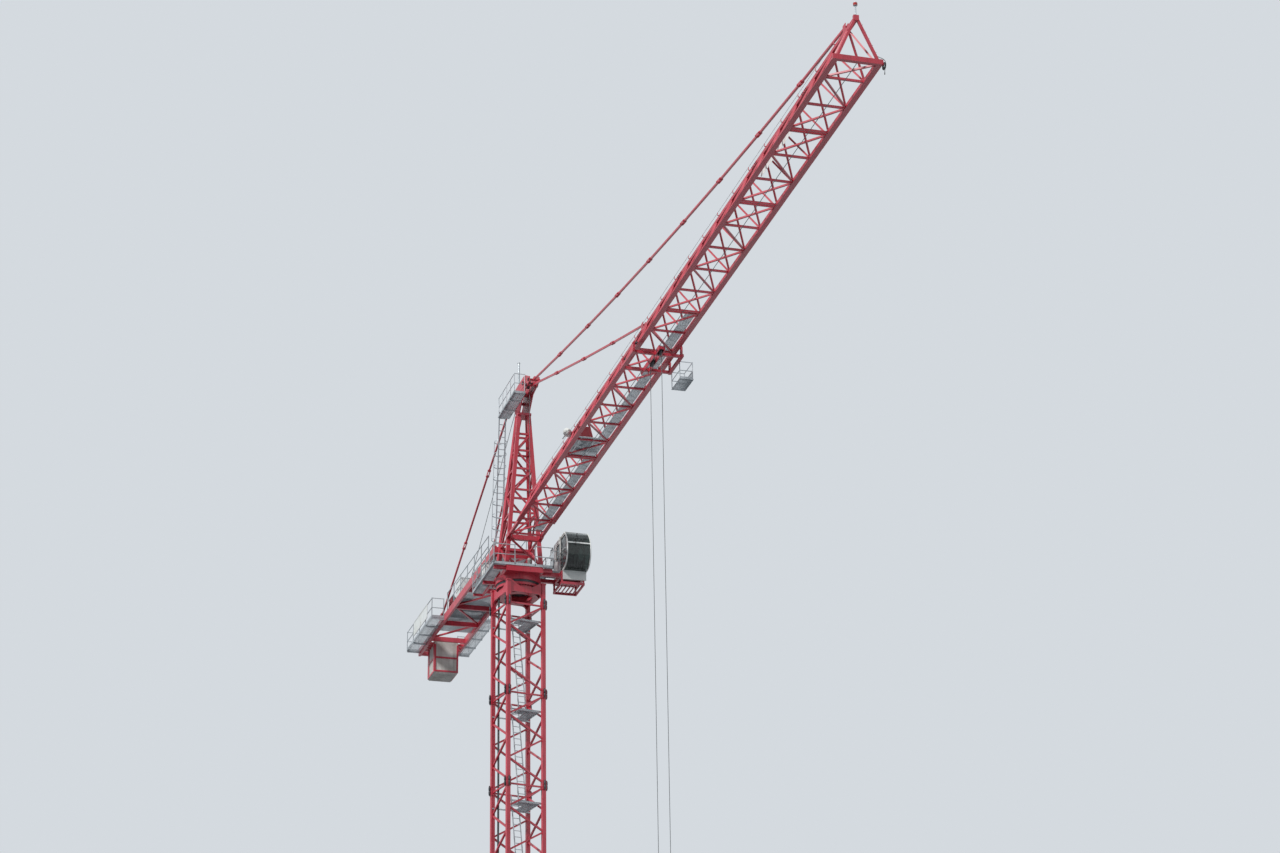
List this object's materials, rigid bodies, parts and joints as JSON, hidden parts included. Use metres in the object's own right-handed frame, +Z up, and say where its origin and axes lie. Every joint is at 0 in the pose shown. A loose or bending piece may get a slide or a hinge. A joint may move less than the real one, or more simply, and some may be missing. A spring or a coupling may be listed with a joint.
{
  "type": "tower crane, 1:2 scale model",
  "caption": "Hammerhead tower crane on a lattice mast, with a stayed lattice jib, travelling trolley, hoist hook, glazed cab and ballasted counter-jib.",
  "frame": {"origin": "bottom face of the base frame on the mast's axis, at ground level", "axes": "+X runs out along the jib, +Z up the mast, +Y to the cab's side"},
  "size_m": [33.5096, 3.0618, 20.1],
  "materials": {
    "red_paint": "satin",
    "dark_red_paint": "satin",
    "galvanized_steel": "matte",
    "white_paint": "satin",
    "dark_steel": "matte",
    "cable_rubber": "matte",
    "concrete": "rough concrete",
    "cab_glass": "dark tint",
    "seat_plastic": "matte",
    "sheet_fabric": "woven"
  },
  "bodies": {
    "mast": {"base_frame": "red_paint", "mast_section_1": "red_paint", "mast_section_2": "red_paint", "mast_section_3": "red_paint", "mast_section_4": "red_paint", "mast_section_5": "red_paint", "mast_section_6": "red_paint", "mast_platforms": "galvanized_steel", "mast_ladders": "galvanized_steel", "mast_cable": "cable_rubber", "ring_support": "red_paint"},
    "upper_works": {"slewing_ring": "dark_steel", "slewing_frame": "red_paint", "slewing_drives": "dark_steel", "slewing_deck": "galvanized_steel", "slewing_railing": "galvanized_steel", "tower_head": "red_paint", "head_block": "dark_red_paint", "head_sheaves": "dark_steel", "head_deck": "galvanized_steel", "head_ladder": "galvanized_steel", "jib_section_1": "red_paint", "jib_section_2": "red_paint", "jib_section_3": "red_paint", "jib_section_4": "red_paint", "jib_section_5": "red_paint", "jib_section_6": "red_paint", "jib_walkway": "galvanized_steel", "trolley_winch": "galvanized_steel", "winch_shield": "dark_red_paint", "jib_sheet": "sheet_fabric", "jib_tip": "red_paint", "tip_light": "dark_steel", "tip_cable": "cable_rubber", "outer_tie": "red_paint", "inner_tie": "red_paint", "rear_ties": "red_paint", "rope_runs": "dark_steel", "counter_frame": "red_paint", "counter_deck": "galvanized_steel", "counter_railing": "galvanized_steel", "sign_panel": "white_paint", "hoist_winch": "dark_red_paint", "control_cabinet": "white_paint", "counterweights": "concrete", "weight_frame": "red_paint", "cab_carrier": "dark_red_paint", "cab_shell": "white_paint", "cab_door": "white_paint", "cab_glass": "cab_glass", "cab_seat": "seat_plastic"},
    "trolley": {"trolley_frame": "dark_red_paint", "trolley_wheels": "dark_steel", "trolley_sheaves": "dark_steel", "trolley_basket": "galvanized_steel", "hoist_ropes": "dark_steel"},
    "hook": {"hook_block": "red_paint", "hook": "dark_steel"}
  },
  "joints": [
    {"name": "slew", "type": "hinge", "parent": "mast", "child": "upper_works", "pos_m": [0, 0, 14.2], "axis": [0, 0, 1], "continuous": true},
    {"name": "trolley_travel", "type": "slide", "parent": "upper_works", "child": "trolley", "axis": [1, 0, 0], "range_m": [-9.325, 12.15]},
    {"name": "hoist", "type": "slide", "parent": "trolley", "child": "hook", "axis": [0, 0, 1], "range_m": [0, 13.4], "deforming": ["hoist_ropes"]}
  ]
}
